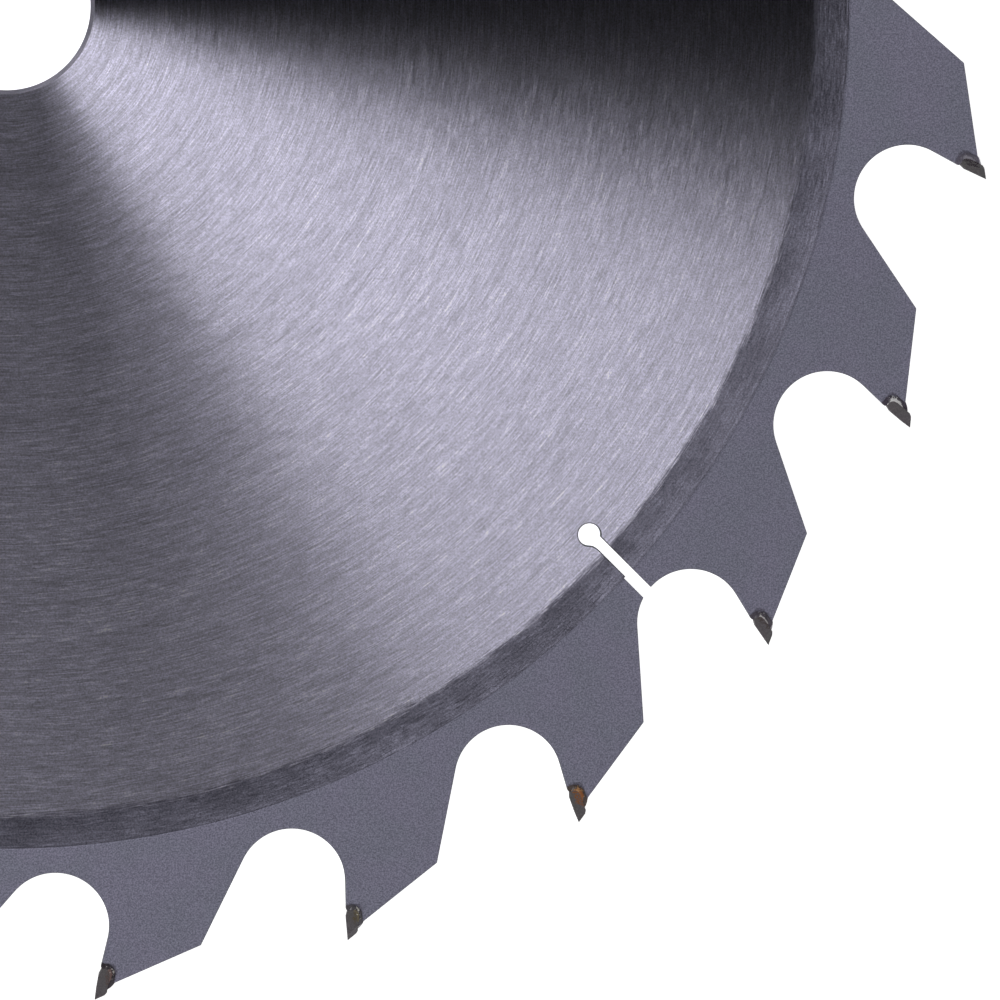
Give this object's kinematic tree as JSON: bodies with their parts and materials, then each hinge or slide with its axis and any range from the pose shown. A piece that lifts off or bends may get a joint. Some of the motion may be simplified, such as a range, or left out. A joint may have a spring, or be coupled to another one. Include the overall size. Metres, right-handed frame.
{
  "type": "circular saw blade",
  "caption": "Flat steel circular saw blade for wood, with brazed carbide tips, round gullets, expansion slots and a central arbor bore.",
  "frame": {"origin": "centre of the arbor bore, halfway through the plate's thickness", "axes": "+Z along the bore's axis, out of the face from which the blade turns clockwise; +X and +Y in the plane of the blade, with the first tip 10 degrees clockwise of +X"},
  "size_m": [0.1892, 0.1892, 0.0026],
  "materials": {
    "plate_steel": "brushed in circles over the hub disc, matte blasted over the tooth zone",
    "carbide": "ground sintered carbide, dark grey, satin",
    "braze": "silver braze with heat tints from straw to copper"
  },
  "bodies": {
    "root": {"plate": "plate_steel", "tip_01": "carbide", "tip_02": "carbide", "tip_03": "carbide", "tip_04": "carbide", "tip_05": "carbide", "tip_06": "carbide", "tip_07": "carbide", "tip_08": "carbide", "tip_09": "carbide", "tip_10": "carbide", "tip_11": "carbide", "tip_12": "carbide", "tip_13": "carbide", "tip_14": "carbide", "tip_15": "carbide", "tip_16": "carbide", "tip_17": "carbide", "tip_18": "carbide", "tip_19": "carbide", "tip_20": "carbide", "tip_21": "carbide", "tip_22": "carbide", "tip_23": "carbide", "tip_24": "carbide", "braze_01": "braze", "braze_02": "braze", "braze_03": "braze", "braze_04": "braze", "braze_05": "braze", "braze_06": "braze", "braze_07": "braze", "braze_08": "braze", "braze_09": "braze", "braze_10": "braze", "braze_11": "braze", "braze_12": "braze", "braze_13": "braze", "braze_14": "braze", "braze_15": "braze", "braze_16": "braze", "braze_17": "braze", "braze_18": "braze", "braze_19": "braze", "braze_20": "braze", "braze_21": "braze", "braze_22": "braze", "braze_23": "braze", "braze_24": "braze"}
  },
  "joints": []
}
